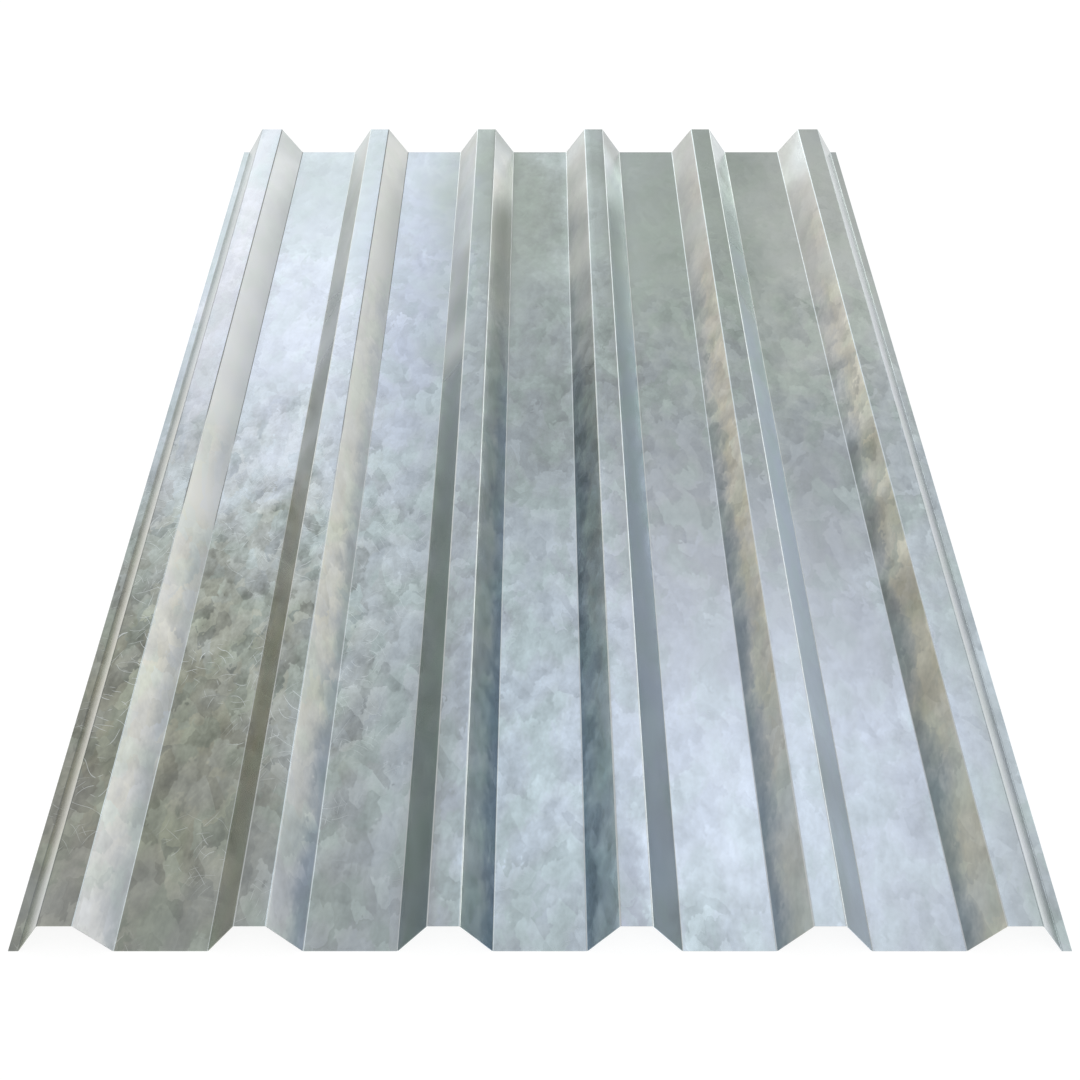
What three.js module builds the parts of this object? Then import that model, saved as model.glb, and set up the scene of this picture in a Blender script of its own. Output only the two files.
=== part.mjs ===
// Box-rib sheet: one piece of roll-formed galvanised steel with six trapezoidal ribs and five
// flat pans between them. Millimetres, +Z up. The ribs run along Y, X is across the sheet, and
// the origin is the middle of the underside of the centre pan, on which the sheet lies.
import * as THREE from "three";

// --- driving dimensions ---------------------------------------------------------------------
const RIB_COUNT = 6;
const RIB_PITCH = 178; // from the middle of one crown to the middle of the next
const CROWN_WIDTH = 30; // across the top of a rib, corner to corner if the bends were sharp
const WEB_RUN = 29.5; // how far a sloping web reaches sideways
const RIB_HEIGHT = 42; // from the top face of a pan to the top face of a crown
const SIDE_CROWN_EXTRA = 3; // the first and last crowns reach this much further out, over steeper webs
const EDGE_FLANGE = 9.5; // flat strip outside the first and the last rib
const SHEET_THICKNESS = 0.6;
const BEND_INSIDE_RADIUS = 2;
const SHEET_LENGTH = 1525;
const FACETS_PER_BEND = 8;

// --- the rolled section, as the line halfway through the metal ---------------------------------
// The corners where flat strips would meet if the bends were sharp, from the left edge to the right.
function sectionCorners() {
  const low = SHEET_THICKNESS / 2;
  const high = low + RIB_HEIGHT;
  const crownHalf = CROWN_WIDTH / 2;
  const sideCrownHalf = crownHalf + SIDE_CROWN_EXTRA;
  const footHalf = crownHalf + WEB_RUN;
  const firstRib = (-RIB_PITCH * (RIB_COUNT - 1)) / 2;
  const lastRib = -firstRib;

  const corners = [new THREE.Vector2(firstRib - footHalf - EDGE_FLANGE, low)];
  for (let rib = 0; rib < RIB_COUNT; rib++) {
    const middle = firstRib + rib * RIB_PITCH;
    const leftHalf = rib === 0 ? sideCrownHalf : crownHalf;
    const rightHalf = rib === RIB_COUNT - 1 ? sideCrownHalf : crownHalf;
    corners.push(
      new THREE.Vector2(middle - footHalf, low),
      new THREE.Vector2(middle - leftHalf, high),
      new THREE.Vector2(middle + rightHalf, high),
      new THREE.Vector2(middle + footHalf, low),
    );
  }
  corners.push(new THREE.Vector2(lastRib + footHalf + EDGE_FLANGE, low));
  return corners;
}

const directionOf = (from, to) => to.clone().sub(from).normalize();
const leftNormal = (direction) => new THREE.Vector2(-direction.y, direction.x);

// One bend of the section: the centre of its arc, and the directions of the strips on either side.
function bendAt(before, corner, after) {
  const into = directionOf(before, corner);
  const outOf = directionOf(corner, after);
  const turn = Math.sign(into.cross(outOf)); // +1 turns left (up), -1 turns right (down)
  const middleRadius = BEND_INSIDE_RADIUS + SHEET_THICKNESS / 2;
  const angle = Math.acos(into.dot(outOf));
  const tangentLength = middleRadius * Math.tan(angle / 2);
  const start = corner.clone().addScaledVector(into, -tangentLength);
  const centre = start.addScaledVector(leftNormal(into), turn * middleRadius);
  return { centre, into, outOf, turn, middleRadius };
}

// Adds one skin of the sheet to the outline, from left to right, or back from right to left.
// offset is the skin's distance above the middle line: half the thickness, up or down.
function addSkin(outline, corners, bends, offset, backwards) {
  const last = corners.length - 1;
  const leftEnd = corners[0].clone().add(new THREE.Vector2(0, offset));
  const rightEnd = corners[last].clone().add(new THREE.Vector2(0, offset));
  const first = backwards ? rightEnd : leftEnd;
  const finish = backwards ? leftEnd : rightEnd;
  const ordered = backwards ? [...bends].reverse() : bends;

  outline.lineTo(first.x, first.y);
  for (const bend of ordered) {
    const radius = bend.middleRadius - bend.turn * offset;
    const towardsArc = (direction) => leftNormal(direction).multiplyScalar(-bend.turn).angle();
    const startAngle = towardsArc(backwards ? bend.outOf : bend.into);
    const endAngle = towardsArc(backwards ? bend.into : bend.outOf);
    const clockwise = (bend.turn < 0) !== backwards;
    outline.absarc(bend.centre.x, bend.centre.y, radius, startAngle, endAngle, clockwise);
  }
  outline.lineTo(finish.x, finish.y);
}

function sheetSection() {
  const corners = sectionCorners();
  const bends = [];
  for (let i = 1; i < corners.length - 1; i++) {
    bends.push(bendAt(corners[i - 1], corners[i], corners[i + 1]));
  }
  const outline = new THREE.Shape();
  const lowerLeft = corners[0].clone().add(new THREE.Vector2(0, -SHEET_THICKNESS / 2));
  outline.moveTo(lowerLeft.x, lowerLeft.y);
  addSkin(outline, corners, bends, -SHEET_THICKNESS / 2, false);
  addSkin(outline, corners, bends, SHEET_THICKNESS / 2, true);
  return outline;
}

// --- the sheet: the section carried along its length ---------------------------------------------
function ribbedSheet() {
  const geometry = new THREE.ExtrudeGeometry(sheetSection(), {
    depth: SHEET_LENGTH,
    bevelEnabled: false,
    curveSegments: FACETS_PER_BEND / 2, // an arc gets two facets for each curve segment
  });
  const galvanised = new THREE.MeshStandardMaterial({
    color: 0xb4bcc0,
    roughness: 0.45,
    metalness: 0.75,
  });
  const sheet = new THREE.Mesh(geometry, galvanised);
  sheet.name = "ribbed_sheet";
  sheet.rotation.x = Math.PI / 2; // the section stands upright in XZ and runs along Y
  sheet.position.y = SHEET_LENGTH / 2;
  return sheet;
}

const part = new THREE.Group();
part.add(ribbedSheet());

export default part;
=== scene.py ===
"""A box-rib sheet of galvanised steel, lying flat: six narrow ribs and five wide pans.

Everything is in metres. The ribs run along Y, X is across the sheet, and the underside of the
pans is at z = 0.
"""

import math

import bpy
from mathutils import Euler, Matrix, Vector


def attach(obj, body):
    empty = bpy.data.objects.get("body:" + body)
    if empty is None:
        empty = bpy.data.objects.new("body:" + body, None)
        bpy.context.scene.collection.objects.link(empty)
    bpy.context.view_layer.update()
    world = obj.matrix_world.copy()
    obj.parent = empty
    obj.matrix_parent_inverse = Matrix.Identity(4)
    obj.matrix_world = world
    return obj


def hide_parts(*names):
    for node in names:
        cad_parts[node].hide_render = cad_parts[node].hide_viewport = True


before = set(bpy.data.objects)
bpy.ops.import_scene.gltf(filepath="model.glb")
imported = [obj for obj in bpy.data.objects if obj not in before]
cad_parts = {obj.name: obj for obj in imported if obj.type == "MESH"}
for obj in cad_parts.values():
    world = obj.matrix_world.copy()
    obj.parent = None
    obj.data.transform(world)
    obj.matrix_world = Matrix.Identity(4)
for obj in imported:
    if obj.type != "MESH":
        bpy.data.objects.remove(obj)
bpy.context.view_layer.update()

MM = 0.001

# --- the sheet's driving sizes -----------------------------------------------------------------------
RIB_COUNT = 6
RIB_PITCH = 178 * MM
CROWN_WIDTH = 30 * MM
WEB_RUN = 29.5 * MM
RIB_HEIGHT = 42 * MM
SIDE_CROWN_EXTRA = 3 * MM  # the first and last crowns reach this much further out, over steeper webs
EDGE_FLANGE = 9.5 * MM
GAUGE = 0.6 * MM
BEND_RADIUS = 2.3 * MM  # to the middle of the metal
SHEET_LENGTH = 1525 * MM

# how finely the finished mesh is divided
BEND_FACETS = 8
STRIP_STEP = 12 * MM  # the longest face across a flat strip
LENGTH_STEPS = 12
SHARP_ANGLE = 40  # degrees: the cut edges are shaded sharp, and the bends smooth


# --- node trees written as expressions ---------------------------------------------------------------
class Val:
    """A socket of a node tree. Sums written with it add Math nodes to the tree."""

    def __init__(self, tree, socket):
        self.tree = tree
        self.socket = socket

    def math(self, operation, *others):
        return self.tree.add("ShaderNodeMath", {"operation": operation}, (self, *others))

    def __add__(self, other):
        return self.math("ADD", other)

    __radd__ = __add__

    def __sub__(self, other):
        return self.math("SUBTRACT", other)

    def __rsub__(self, other):
        return -self + other

    def __mul__(self, other):
        return self.math("MULTIPLY", other)

    __rmul__ = __mul__

    def __truediv__(self, other):
        return self.math("DIVIDE", other)

    def __neg__(self):
        return self * -1

    def __abs__(self):
        return self.math("ABSOLUTE")

    def __gt__(self, other):
        return self.math("GREATER_THAN", other)

    def __lt__(self, other):
        return self.math("LESS_THAN", other)


class Tree:
    """Adds nodes to one node tree and links them."""

    def __init__(self, tree):
        self.tree = tree

    def node(self, kind, settings=None, inputs=()):
        """Adds a node. inputs is a list, or a dict by socket name or number."""
        node = self.tree.nodes.new(kind)
        for name, value in (settings or {}).items():
            setattr(node, name, value)
        pairs = inputs.items() if isinstance(inputs, dict) else enumerate(inputs)
        for name, value in pairs:
            self.join(value, node.inputs[name])
        return node

    def add(self, kind, settings=None, inputs=(), out=0):
        """Adds a node and gives one of its outputs, by name or number."""
        return Val(self, self.node(kind, settings, inputs).outputs[out])

    def parts(self, kind, value):
        """Adds a node that takes one value apart, and gives all its outputs."""
        return [Val(self, socket) for socket in self.node(kind, inputs=(value,)).outputs]

    def join(self, value, socket):
        if isinstance(value, Val):
            self.tree.links.new(value.socket, socket)
        else:
            socket.default_value = value

    def xyz(self, x, y, z=0):
        return self.add("ShaderNodeCombineXYZ", inputs=(x, y, z))

    def vector(self, operation, *others, out="Vector"):
        return self.add("ShaderNodeVectorMath", {"operation": operation}, others, out)

    def ramp(self, value, low, high, top=1):
        """0 below low, top above high, and smooth between them."""
        settings = {"interpolation_type": "SMOOTHSTEP"}
        return self.add("ShaderNodeMapRange", settings, (value, low, high, 0, top))


# --- the sheet: its section by rule, swept along its length, in Geometry Nodes -----------------------
SHEET_INPUTS = (
    ("Ribs", "NodeSocketInt", RIB_COUNT),
    ("Rib pitch", "NodeSocketFloat", RIB_PITCH),
    ("Crown width", "NodeSocketFloat", CROWN_WIDTH),
    ("Web run", "NodeSocketFloat", WEB_RUN),
    ("Rib height", "NodeSocketFloat", RIB_HEIGHT),
    ("Side crown extra", "NodeSocketFloat", SIDE_CROWN_EXTRA),
    ("Edge flange", "NodeSocketFloat", EDGE_FLANGE),
    ("Gauge", "NodeSocketFloat", GAUGE),
    ("Bend radius", "NodeSocketFloat", BEND_RADIUS),
    ("Length", "NodeSocketFloat", SHEET_LENGTH),
    ("Bend facets", "NodeSocketInt", BEND_FACETS),
    ("Strip step", "NodeSocketFloat", STRIP_STEP),
    ("Length steps", "NodeSocketInt", LENGTH_STEPS),
    ("Material", "NodeSocketMaterial", None),
)


def sheet_tree():
    group = bpy.data.node_groups.new("rolled_sheet", "GeometryNodeTree")
    for name, kind, _ in SHEET_INPUTS:
        group.interface.new_socket(name, in_out="INPUT", socket_type=kind)
    group.interface.new_socket("Mesh", in_out="OUTPUT", socket_type="NodeSocketGeometry")
    t = Tree(group)
    given = t.node("NodeGroupInput")
    size = {name: Val(t, given.outputs[name]) for name, _, _ in SHEET_INPUTS}

    # the corners of the section: four on each rib, and one at each side edge
    half_crown = size["Crown width"] / 2
    first_rib = -(size["Ribs"] - 1) * size["Rib pitch"] / 2
    low = size["Gauge"] / 2
    index = t.add("GeometryNodeInputIndex")
    on_rib = index.math("MINIMUM", size["Ribs"] * 4).math("MAXIMUM", 1)
    rib = ((on_rib - 1) / 4).math("FLOOR")
    place = on_rib - 1 - rib * 4 - 1.5  # -1.5 and 1.5 are a rib's feet, -0.5 and 0.5 its crown
    side = place.math("SIGN")
    is_foot = abs(place) > 1
    across = first_rib + rib * size["Rib pitch"] + side * (half_crown + is_foot * size["Web run"])
    on_side = (on_rib < 2.5) + (on_rib > size["Ribs"] * 4 - 1.5)
    across = across + side * on_side * (1 - is_foot) * size["Side crown extra"]
    across = across + (index - on_rib) * size["Edge flange"]
    height = low + (1 - is_foot) * size["Rib height"]
    corner_count = size["Ribs"] * 4 + 2
    corners = t.add("GeometryNodeMeshLine", inputs={"Count": corner_count})
    corners = t.add("GeometryNodeMeshToCurve", inputs=(corners,))
    corner_place = t.xyz(across, -height)  # -Y turns up when swept
    corners = t.add("GeometryNodeSetPosition", inputs={"Geometry": corners, "Position": corner_place})

    # round bends, then cuts in the flat strips, and the distance across as if unrolled
    section = t.add("GeometryNodeFilletCurve", {"mode": "POLY"}, {
        "Curve": corners, "Count": size["Bend facets"], "Radius": size["Bend radius"]})
    here = t.add("GeometryNodeInputPosition")
    following = t.add("GeometryNodeFieldAtIndex", {"data_type": "FLOAT_VECTOR"}, {
        "Value": here, "Index": t.add("GeometryNodeInputIndex") + 1})
    run = t.vector("DISTANCE", here, following, out="Value")
    section = t.add("GeometryNodeSubdivideCurve", inputs={
        "Curve": section, "Cuts": (run / size["Strip step"]).math("FLOOR")})
    unrolled = t.add("GeometryNodeSplineParameter", out="Length")
    section = t.add("GeometryNodeStoreNamedAttribute", {"data_type": "FLOAT"}, {
        "Geometry": section, "Name": "unrolled_across", "Value": unrolled})

    # the section carried along a straight line
    half_length = size["Length"] / 2
    line = t.add("GeometryNodeCurvePrimitiveLine", inputs={
        "Start": t.xyz(0, -half_length), "End": t.xyz(0, half_length)})
    line = t.add("GeometryNodeResampleCurve", inputs={"Curve": line, "Count": size["Length steps"] + 1})
    line = t.add("GeometryNodeSetCurveNormal", {"mode": "Z_UP"}, {"Curve": line})
    sheet = t.add("GeometryNodeCurveToMesh", inputs={"Curve": line, "Profile Curve": section})
    sheet = t.add("GeometryNodeRealizeInstances", inputs=(sheet,))
    sheet = t.add("GeometryNodeSetMaterial", inputs={"Geometry": sheet, "Material": size["Material"]})
    t.node("NodeGroupOutput", inputs={"Mesh": sheet})
    return group


def rolled_sheet(material):
    name = "ribbed_sheet_finished"
    piece = bpy.data.objects.new(name, bpy.data.meshes.new(name))
    bpy.context.scene.collection.objects.link(piece)
    rolling = piece.modifiers.new("rolling", "NODES")
    rolling.node_group = sheet_tree()
    given = rolling.node_group.interface.items_tree
    sockets = {socket.name: socket.identifier for socket in given if socket.in_out == "INPUT"}
    for size_name, _, value in SHEET_INPUTS:
        rolling[sockets[size_name]] = material if value is None else value
    metal = piece.modifiers.new("metal", "SOLIDIFY")
    metal.thickness = GAUGE
    metal.offset = 0
    metal.use_even_offset = True
    evaluated = piece.evaluated_get(bpy.context.evaluated_depsgraph_get())
    finished = bpy.data.meshes.new_from_object(evaluated)
    piece.modifiers.clear()
    piece.data = finished
    finished.name = name
    finished.shade_smooth()
    finished.set_sharp_from_angle(angle=math.radians(SHARP_ANGLE))
    return piece


# --- finish ------------------------------------------------------------------------------------------
# Places on the strip before it was rolled, as distances along the middle of the metal.
WEB_SLOPE = math.hypot(WEB_RUN, RIB_HEIGHT)
BEND_ANGLE = math.atan2(RIB_HEIGHT, WEB_RUN)
BEND_GAIN = BEND_RADIUS * (BEND_ANGLE - 2 * math.tan(BEND_ANGLE / 2))  # from corner lengths to arc lengths
CROWN_HALF = (CROWN_WIDTH + BEND_GAIN) / 2
RIB_HALF = CROWN_HALF + WEB_SLOPE + BEND_GAIN
PAN_WIDTH = RIB_PITCH - CROWN_WIDTH - 2 * WEB_RUN + BEND_GAIN
UNROLLED_PITCH = 2 * RIB_HALF + PAN_WIDTH
# and on the outer halves of the first and the last rib
SIDE_RUN = WEB_RUN - SIDE_CROWN_EXTRA
SIDE_ANGLE = math.atan2(RIB_HEIGHT, SIDE_RUN)
SIDE_GAIN = BEND_RADIUS * (SIDE_ANGLE - 2 * math.tan(SIDE_ANGLE / 2))
SIDE_CROWN_HALF = CROWN_WIDTH / 2 + SIDE_CROWN_EXTRA + SIDE_GAIN / 2
SIDE_HALF = SIDE_CROWN_HALF + math.hypot(SIDE_RUN, RIB_HEIGHT) + SIDE_GAIN
FIRST_RIB = EDGE_FLANGE + SIDE_GAIN / 2 + SIDE_HALF
LAST_RIB = FIRST_RIB + (RIB_COUNT - 1) * UNROLLED_PITCH
SIDE_STRETCH = (RIB_HALF - CROWN_HALF) / (SIDE_HALF - SIDE_CROWN_HALF)


class Shader(Tree):
    """A material's or world's node tree, with short names for what the finishes use."""

    def mix(self, factor, a, b, blend="MIX"):
        """A colour between a and b, or a with b laid over it as blend says."""
        settings = {"data_type": "RGBA", "blend_type": blend}
        return self.add("ShaderNodeMix", settings, {0: factor, 6: a, 7: b}, out=2)

    def tint(self, factor, colour, tint):
        """colour multiplied by tint, as far as factor says."""
        return self.mix(factor, colour, tint, "MULTIPLY")

    def noise(self, place, size, seed, detail=0, rough=0.5):
        """Flat noise with features about size metres across. seed picks another pattern."""
        moved = self.vector("ADD", place, (3.7 * seed, 1.9 * seed, 0))
        inputs = {"Vector": moved, "Scale": 1 / size, "Detail": detail, "Roughness": rough}
        return self.add("ShaderNodeTexNoise", {"noise_dimensions": "2D"}, inputs)

    def turned(self, place, degrees, stretch):
        """The two flat coordinates of place, turned about Z and then stretched."""
        c, d = math.cos(math.radians(degrees)), math.sin(math.radians(degrees))
        x = self.vector("DOT_PRODUCT", place, (c * stretch[0], -d * stretch[0], 0), out="Value")
        y = self.vector("DOT_PRODUCT", place, (d * stretch[1], c * stretch[1], 0), out="Value")
        return x, y

    def patch(self, place, x, y, wide, long, strength=1.0):
        """A soft oval round (x, y) on the flat place: strength at its middle, 0 outside."""
        scale = (2 / wide, 2 / long, 0)
        shift = (-2 * x / wide, -2 * y / long, 0)
        centred = self.vector("MULTIPLY_ADD", place, scale, shift)
        inside = self.add("ShaderNodeTexGradient", {"gradient_type": "SPHERICAL"}, (centred,), out="Fac")
        return self.ramp(inside, 0, PATCH_FULL, strength)


ZINC = (0.545, 0.595, 0.605, 1)
# Large soft clouds of the zinc, partly its own patchy tone and partly painted reflections and painted shade,
# with lit and shaded copies on the left- and right-facing webs, and dull bloom on the webs. Places and sizes
# in metres on the sheet.
ZINC_AND_SHEEN_CLOUDS = (
    # faces, x, y, wide, long, colour, strength, dullness
    ("flat", -0.35, 0.18, 0.50, 1.05, (0.76, 0.80, 0.86, 1), 1.0, 0.0),
    ("flat", -0.445, 0.38, 0.10, 1.50, (0.71, 0.71, 0.735, 1), 0.9, 0.0),
    ("flat", -0.18, 0.42, 0.20, 1.30, (0.55, 0.59, 0.665, 1), 1.0, 0.0),
    ("flat", -0.42, -0.53, 0.58, 1.16, (0.42, 0.435, 0.375, 1), 1.0, 0.0),
    ("flat", -0.46, -0.62, 0.12, 0.70, (0.49, 0.495, 0.45, 1), 0.9, 0.0),
    ("flat", -0.04, 0.60, 0.36, 1.35, (0.34, 0.375, 0.335, 1), 1.0, 0.0),
    ("flat", 0.00, 0.12, 0.36, 0.80, (0.39, 0.425, 0.415, 1), 0.95, 0.0),
    ("flat", -0.09, -0.45, 0.13, 1.30, (0.45, 0.475, 0.48, 1), 0.8, 0.0),
    ("flat", 0.27, 0.50, 0.66, 1.30, (0.55, 0.62, 0.565, 1), 1.0, 0.0),
    ("flat", 0.44, 0.48, 0.32, 1.26, (0.74, 0.785, 0.74, 1), 0.9, 0.0),
    ("flat", 0.36, -0.50, 0.30, 1.20, (0.55, 0.57, 0.61, 1), 0.9, 0.0),
    ("flat", 0.18, -0.44, 0.42, 1.10, (0.68, 0.705, 0.745, 1), 0.9, 0.0),
    ("flat", 0.089, -0.80, 0.07, 0.44, (0.52, 0.54, 0.58, 1), 0.95, 0.0),
    ("right web", -0.415, -0.20, 0.16, 5.0, (0.79, 0.80, 0.80, 1), 1.0, 0.85),
    ("right web", -0.237, -0.10, 0.16, 4.6, (0.72, 0.72, 0.685, 1), 1.0, 0.85),
    ("right web", -0.237, -0.78, 0.16, 0.90, (0.53, 0.56, 0.60, 1), 0.8, 0.0),
    ("right web", -0.06, 0.42, 0.14, 0.9, (0.62, 0.61, 0.56, 1), 0.9, 0.0),
    ("right web", -0.06, -0.35, 0.16, 2.2, (0.69, 0.74, 0.75, 1), 0.9, 0.0),
    ("right web", 0.12, -0.30, 0.16, 1.8, (0.61, 0.71, 0.82, 1), 1.0, 0.0),
    ("right web", 0.30, -0.35, 0.18, 2.0, (0.61, 0.70, 0.80, 1), 1.0, 0.5),
    ("right web", 0.48, -0.20, 0.16, 3.4, (0.495, 0.53, 0.555, 1), 1.0, 0.0),
    ("right web", 0.48, -0.78, 0.16, 0.70, (0.61, 0.655, 0.685, 1), 0.9, 0.0),
    # painted shade: the right webs darker at the far end, where they would show the bright floor
    ("right web", 0.10, 0.92, 1.80, 0.60, (0.345, 0.37, 0.36, 1), 1.0, 0.0),
    ("left web", -0.05, 0.55, 1.10, 1.2, (0.64, 0.645, 0.61, 1), 0.9, 0.80),
    ("left web", -0.12, 0.48, 0.14, 0.70, (0.69, 0.735, 0.775, 1), 0.9, 0.0),
    ("left web", 0.34, 0.30, 0.50, 1.5, (0.65, 0.63, 0.59, 1), 1.0, 0.80),
    ("left web", 0.38, -0.50, 0.26, 1.3, (0.56, 0.54, 0.465, 1), 0.9, 0.45),
    ("left web", 0.415, -0.26, 0.14, 0.5, (0.36, 0.355, 0.32, 1), 0.95, 0.3),
    ("left web", -0.13, -0.42, 0.50, 1.3, (0.38, 0.43, 0.42, 1), 1.0, 0.0),
    ("left web", 0.06, -0.02, 0.16, 1.5, (0.375, 0.41, 0.43, 1), 0.9, 0.0),
    ("left web", -0.48, -0.44, 0.20, 1.5, (0.50, 0.495, 0.43, 1), 1.0, 0.0),
    ("left web", -0.30, -0.36, 0.14, 1.7, (0.53, 0.52, 0.475, 1), 1.0, 0.0),
    ("left web", 0.237, -0.35, 0.16, 1.7, (0.54, 0.52, 0.475, 1), 0.9, 0.5),
    ("left web", -0.297, -0.03, 0.14, 0.44, (0.41, 0.43, 0.395, 1), 0.7, 0.0),
)

# Soft oval areas of the sheet: x and y of the middle, width and length
WORN = (-0.36, -0.36, 0.62, 1.15)
CALM_RIGHT = (0.28, -0.56, 0.74, 1.2)
CALM_LEFT = (-0.42, 0.12, 0.60, 1.0)
SHADED_FEET = (0.12, -0.60, 1.7, 2.8)
LIT_HEADS = (0.30, -0.20, 1.2, 1.7)
SHADED_BEND_AREA = (-0.36, 0.55, 0.46, 1.9)
QUIET_BENDS = (-0.42, 0.6, 0.55, 1.5)

# Tints that multiply the zinc's colour, and colours that are laid over it
FOOT_SHADE_LEFT = (0.56, 0.63, 0.70, 1)
FOOT_SHADE_RIGHT = (0.56, 0.65, 0.78, 1)
HEAD_LIGHT_TINT = (1.06, 1.03, 0.965, 1)
FAINT_GREEN = (0.965, 1.0, 0.965, 1)
FAINT_LAVENDER = (0.99, 0.988, 1.015, 1)
TAN = (1.03, 1.0, 0.91, 1)
SIDE_BEND_SHADE = (0.55, 0.57, 0.60, 1)
SCRATCHED = (0.90, 0.94, 0.93, 1)
BEND_HIGHLIGHT = (0.85, 0.89, 0.90, 1)
BEND_SHADE_LINE = (0.22, 0.23, 0.22, 1)

BLOTCH_SIZE = 24 * MM
BLOTCH_LEAN = 6  # degrees from the ribs
BLOTCH_STRETCH = (1, 0.6)  # across and along: less is longer
DRIFT_SIZE = 110 * MM
DAB_SIZE = 14 * MM
BOW_SIZE = 36 * MM
TEAR_REACH = (0.10, 0.26)  # how far across and along a cloud's torn edge moves
WEB_REACH = 0.5  # how far along a web's cloud moves
PATCH_FULL = 0.85  # how near its middle a soft oval is at full strength: 0 is its rim
BEND_LINE = (0.3 * MM, 1.0 * MM)  # how far from a bend's middle its line starts to fade, and is gone
SCRATCH_LINE = (0.12 * MM, 0.36 * MM)  # the same for a scratch
PLAIN_ROUGHNESS = 0.24
LEAST_ROUGHNESS = 0.12
MOST_DULL = 0.85
DENT_HEIGHT = 0.6 * MM
SCRATCHES = (
    # degrees from the ribs, and in millimetres the gap between rows, length and bow
    (30, 8, 34, 34),
    (-48, 9, 30, 28),
    (85, 11, 26, 24),
)


def strokes(s, place, bow, degrees, spacing, length, bowed, seed):
    """Thin bowed scratches of one width, about length long, in roughly one direction."""
    row, run = s.turned(place, degrees, (1 / spacing, 1 / length))
    off = abs((row + bow * (bowed / spacing)).math("FRACT") - 0.5)
    pieces = s.noise(s.xyz(row, run), 1, seed)
    line = s.ramp(off, SCRATCH_LINE[0] / spacing, SCRATCH_LINE[1] / spacing)
    return s.ramp(pieces, 0.58, 0.70) * (1 - line)


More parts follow.
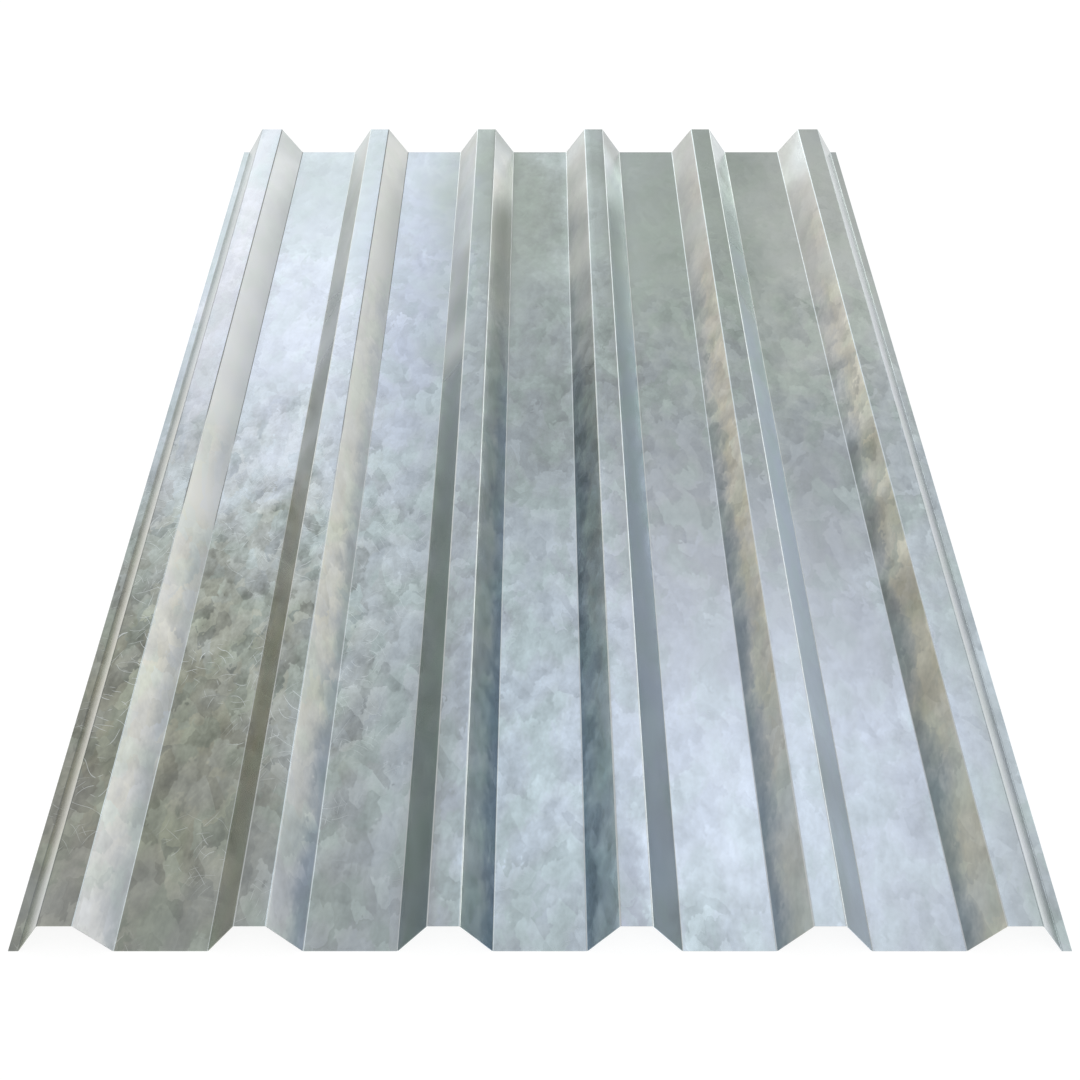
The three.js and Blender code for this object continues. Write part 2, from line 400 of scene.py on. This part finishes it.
def galvanised():
    material = bpy.data.materials.new("galvanised_steel")
    material.use_nodes = True
    shader = material.node_tree.nodes["Principled BSDF"]
    s = Shader(material.node_tree)
    place = s.add("ShaderNodeTexCoord", out="Object")
    sideways, along, _ = s.parts("ShaderNodeSeparateXYZ", place)
    across = s.add("ShaderNodeAttribute", {"attribute_name": "unrolled_across"}, out="Fac")
    strip = s.xyz(across, along)

    # where a point is on its rib: 0 at the middle of the crown, minus to the left
    pitches = (across - FIRST_RIB) / UNROLLED_PITCH + 0.5
    from_rib = (pitches.math("FRACT") - 0.5) * UNROLLED_PITCH
    outward = abs(from_rib)
    # the outer half of a side rib is measured as if its web were like the others
    on_side = (across < FIRST_RIB) + (across > LAST_RIB)
    stretched = (outward - SIDE_CROWN_HALF) * SIDE_STRETCH + CROWN_HALF
    outward = outward + on_side * (stretched - outward)
    to_bend = abs(outward - CROWN_HALF).math("MINIMUM", abs(outward - RIB_HALF))
    bend = 1 - s.ramp(to_bend, *BEND_LINE)
    off_crown = s.ramp(outward, CROWN_HALF, CROWN_HALF + MM)
    web = off_crown * (1 - s.ramp(outward, RIB_HALF - MM, RIB_HALF))
    right = from_rib > 0
    inner = web * (sideways * from_rib < 0)  # the webs that face the middle of the sheet
    outer = web - inner

    # the zinc's blotches, drawn out a little along the sheet
    drawn = s.xyz(*s.turned(strip, BLOTCH_LEAN, BLOTCH_STRETCH))
    blotch = s.noise(drawn, BLOTCH_SIZE, 1, detail=3, rough=0.72) - 0.5
    drift = s.noise(strip, DRIFT_SIZE, 3) - 0.5
    push = s.xyz(blotch * (28 * MM), drift * (45 * MM) - blotch * (22 * MM))
    dabs = s.add("ShaderNodeTexVoronoi", {"voronoi_dimensions": "2D"}, {
        "Vector": s.vector("ADD", drawn, push), "Scale": 1 / DAB_SIZE, "Randomness": 1}, out="Color")
    dab, dab_hue, _ = s.parts("ShaderNodeSeparateColor", dabs)
    dab = dab - 0.5

    # clouds with torn edges on the flat faces, and smooth ones on the webs: patchy zinc with painted
    # reflections, the webs coloured apart by which way they face
    level_place = s.xyz(sideways, along)
    tear = drift * 0.7 + blotch * 0.4
    torn = s.vector("ADD", level_place, s.xyz(tear * TEAR_REACH[0], tear * TEAR_REACH[1]))
    softly = s.vector("ADD", level_place, s.xyz(0, drift * WEB_REACH))
    colours = {"flat": ZINC, "left web": ZINC, "right web": ZINC}
    dulls = {"flat": 0, "left web": 0, "right web": 0}
    for face, x, y, wide, long, tint, strength, dullness in ZINC_AND_SHEEN_CLOUDS:
        cloud = s.patch(torn if face == "flat" else softly, x, y, wide, long, strength)
        colours[face] = s.mix(cloud, colours[face], tint)
        if dullness:
            dulls[face] = dulls[face] + cloud * dullness
    colour = s.mix(right, colours["left web"], colours["right web"])
    colour = s.mix(web, colours["flat"], colour)
    dull = (dulls["left web"] + (dulls["right web"] - dulls["left web"]) * right) * web

    # on the inner webs a painted slate-blue shade along the foot, where the web meets the pan, and a painted
    # warmer, lighter reflection towards the crown
    climb = (RIB_HALF - outward) / (RIB_HALF - CROWN_HALF)
    climb = climb + blotch * 0.5 + drift * 0.4 + dab * 0.12
    shaded_foot = (1 - s.ramp(climb + (1 - right) * 0.06, 0.06, 0.60)) * inner
    shaded_foot = shaded_foot * s.patch(softly, *SHADED_FEET)
    lit_head = s.ramp(climb, 0.30, 0.60) * inner * s.patch(softly, *LIT_HEADS)
    colour = s.tint(shaded_foot * (1 - right), colour, FOOT_SHADE_LEFT)
    colour = s.tint(shaded_foot * right, colour, FOOT_SHADE_RIGHT)
    colour = s.tint(lit_head, colour, HEAD_LIGHT_TINT)

    # worn near the left corner, and calm at the far end and on two areas
    worn = s.patch(torn, *WORN)
    calm = s.ramp(along + drift * 0.4, 0.05, 0.55)
    calm = calm.math("MAXIMUM", s.patch(softly, *CALM_RIGHT, 0.88))
    calm = calm.math("MAXIMUM", s.patch(softly, *CALM_LEFT, 0.9)) * (1 - lit_head * 0.6)
    tinted = 1 - 0.6 * calm

    # faint tints from green to lavender
    bow = s.noise(drawn, BOW_SIZE, 11)
    hue = bow * 0.8 + dab_hue * 0.2
    green = 1 - s.ramp(hue, 0.36, 0.5)
    lavender = s.ramp(hue, 0.5, 0.64)
    colour = s.tint(green * tinted, colour, FAINT_GREEN)
    colour = s.tint(lavender * tinted, colour, FAINT_LAVENDER)
    colour = s.tint((worn + lit_head) * dab_hue, colour, TAN)

    # scratches that gather where it is worn
    hair = 0
    for k, (degrees, spacing, length, bowed) in enumerate(SCRATCHES):
        stroke = strokes(s, strip, bow, degrees, spacing * MM, length * MM, bowed * MM, k)
        hair = stroke.math("MAXIMUM", hair)
    hair = hair * (0.10 + 0.90 * worn) * (1 - web * 0.8) * s.ramp(drift, -0.16, 0.06)

    # blotches: strongest where it is worn and on the inner left webs, and faint on the outer webs
    blend = blotch * 0.46 + dab * (0.15 - 0.04 * web)
    force = 1.40 + 1.5 * worn * (1 - web) + (1.1 - 0.8 * calm - right) * inner - outer - calm
    force = force * (1 - 0.30 * dull)
    tone = 1 + blend * force + drift * (0.08 + 0.08 * calm)
    colour = s.tint(1.0, colour, s.add("ShaderNodeCombineColor", inputs=(tone, tone, tone)))
    colour = s.mix(hair * 0.8, colour, SCRATCHED)

    # painted highlights as bright lines along the bends, and painted shade as dark lines along them on the
    # pale left side
    bend_shading = s.patch(softly, *SHADED_BEND_AREA) * right
    bend_glint = bend * (1 - bend_shading) * (1 - s.patch(softly, *QUIET_BENDS, 0.8)) * (1 - on_side)
    colour = s.mix(bend_glint * 0.6, colour, BEND_HIGHLIGHT)
    colour = s.mix(bend * s.ramp(bend_shading, 0.1, 0.4) * 0.8, colour, BEND_SHADE_LINE)
    # painted shade: the bends on the outer halves of the first and the last rib darkened, against the lamp's
    # highlight there
    colour = s.tint(bend * on_side, colour, SIDE_BEND_SHADE)
    s.join(colour, shader.inputs["Base Color"])

    s.join(1 - dull.math("MINIMUM", MOST_DULL), shader.inputs["Metallic"])
    rough = PLAIN_ROUGHNESS - blotch * 0.12 * (1 - web) + hair * 0.12 + dull * 0.25
    s.join(rough.math("MAXIMUM", LEAST_ROUGHNESS), shader.inputs["Roughness"])
    bump = s.add("ShaderNodeBump", inputs={"Strength": 1.0, "Distance": DENT_HEIGHT, "Height": drift})
    s.join(bump, shader.inputs["Normal"])
    return material


sheet = rolled_sheet(galvanised())
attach(sheet, "root")
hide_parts("ribbed_sheet")

# --- floor, light and camera -------------------------------------------------------------------------
WORLD_LEVEL = 0.55
WHITE_RISE = 0.06  # the rise, over the distance, up to which metal shows the white backdrop too
FLOOR_SIZE = 40
FLOOR_GAP = 0.2 * MM  # so that the floor and the pans don't share one plane
FLOOR_GREY = (0.22, 0.22, 0.22, 1)
FLOOR_GLOW = 0.86  # added to the floor's own light for camera, glossy and transmission rays
SOFTBOXES = (
    # name, bearing (degrees from +Y towards +X), height (degrees), size (across, up) in degrees, level, tint
    ("low_left", -36, 8, 24, 16, 0.8, (1.0, 0.98, 0.90)),
    ("low_middle", -12, 8, 24, 16, 1.6, (0.97, 0.99, 1.0)),
    ("low_right", 48, 8, 48, 16, 1.5, (0.98, 1.0, 0.97)),
    ("main_left", -12, 24, 24, 16, 0.8, (0.88, 0.94, 1.0)),
    ("upper_left", -12, 40, 24, 16, 0.32, (0.72, 0.84, 1.0)),
    ("high_front", 12, 56, 24, 16, 0.62, (0.66, 0.80, 1.0)),
    ("high_right", 36, 48, 24, 32, 0.34, (0.85, 0.93, 1.0)),
    ("right_side", 120, 36, 76, 56, 0.7, (0.97, 1.0, 1.0)),
    ("left_side", -100, 30, 60, 48, 0.8, (1.0, 1.0, 0.98)),
)
SOFTBOX_DISTANCE = 8
CAMERA_PLACE = (0, -1.5213, 1.2345)
CAMERA_TILT = 42.98  # degrees below the horizon
CAMERA_LENS = 49.63  # this and the sensor's width are in millimetres
CAMERA_SENSOR = 36


def ray_kinds(s):
    """Whether a ray comes from the camera, a glossy surface or a see-through one."""
    names = ("Is Camera Ray", "Is Glossy Ray", "Is Transmission Ray")
    return [s.add("ShaderNodeLightPath", out=name) for name in names]


def white_floor():
    bpy.ops.mesh.primitive_plane_add(size=FLOOR_SIZE, location=(0, 0, -FLOOR_GAP))
    floor = bpy.context.object
    floor.name = "floor"
    material = bpy.data.materials.new("white_floor")
    material.use_nodes = True
    shader = material.node_tree.nodes["Principled BSDF"]
    shader.inputs["Base Color"].default_value = FLOOR_GREY
    shader.inputs["Roughness"].default_value = 1
    shader.inputs["Specular IOR Level"].default_value = 0
    shader.inputs["Emission Color"].default_value = (1, 1, 1, 1)
    s = Shader(material.node_tree)
    camera, glossy, through = ray_kinds(s)
    seen = camera.math("MAXIMUM", glossy).math("MAXIMUM", through)
    s.join(seen * FLOOR_GLOW, shader.inputs["Emission Strength"])
    floor.data.materials.append(material)


def softbox(name, bearing, height, across, up, level, tint):
    """A soft rectangular lamp that faces the middle of the sheet from far off."""
    light = bpy.data.lights.new(name, "AREA")
    light.shape = "RECTANGLE"
    light.size = 2 * SOFTBOX_DISTANCE * math.tan(math.radians(across / 2))
    light.size_y = 2 * SOFTBOX_DISTANCE * math.tan(math.radians(up / 2))
    light.color = tint
    light.energy = level * math.pi * light.size * light.size_y  # radiance = energy / (pi * area)
    lamp = bpy.data.objects.new(name, light)
    b, h = math.radians(bearing), math.radians(height)
    toward = Vector((math.sin(b) * math.cos(h), math.cos(b) * math.cos(h), math.sin(h)))
    lamp.location = toward * SOFTBOX_DISTANCE
    lamp.rotation_euler = toward.to_track_quat("Z", "Y").to_euler()
    bpy.context.scene.collection.objects.link(lamp)


def studio():
    """A plain world that looks white behind the floor, and that metal shows as white near the floor."""
    world = bpy.data.worlds.new("studio")
    bpy.context.scene.world = world
    world.use_nodes = True
    world.cycles.sampling_method = "NONE"  # it is nearly even, so rays find it by themselves
    s = Shader(world.node_tree)
    camera, glossy, through = ray_kinds(s)
    _, _, rise = s.parts("ShaderNodeSeparateXYZ", s.add("ShaderNodeTexCoord", out="Generated"))
    low = 1 - s.ramp(rise, 0, WHITE_RISE)
    white = (glossy * low).math("MAXIMUM", camera).math("MAXIMUM", through)
    background = world.node_tree.nodes["Background"]
    background.inputs["Color"].default_value = (1, 1, 1, 1)
    s.join(WORLD_LEVEL + white * (1 - WORLD_LEVEL), background.inputs["Strength"])


def place_camera():
    lens = bpy.data.cameras.new("camera")
    lens.sensor_width = CAMERA_SENSOR
    lens.lens = CAMERA_LENS
    held = bpy.data.objects.new("camera", lens)
    held.location = CAMERA_PLACE
    held.rotation_euler = Euler((math.radians(90 - CAMERA_TILT), 0, 0))
    bpy.context.scene.collection.objects.link(held)
    bpy.context.scene.camera = held
    bpy.context.scene.view_settings.view_transform = "Standard"


white_floor()
for row in SOFTBOXES:
    softbox(*row)
studio()
place_camera()
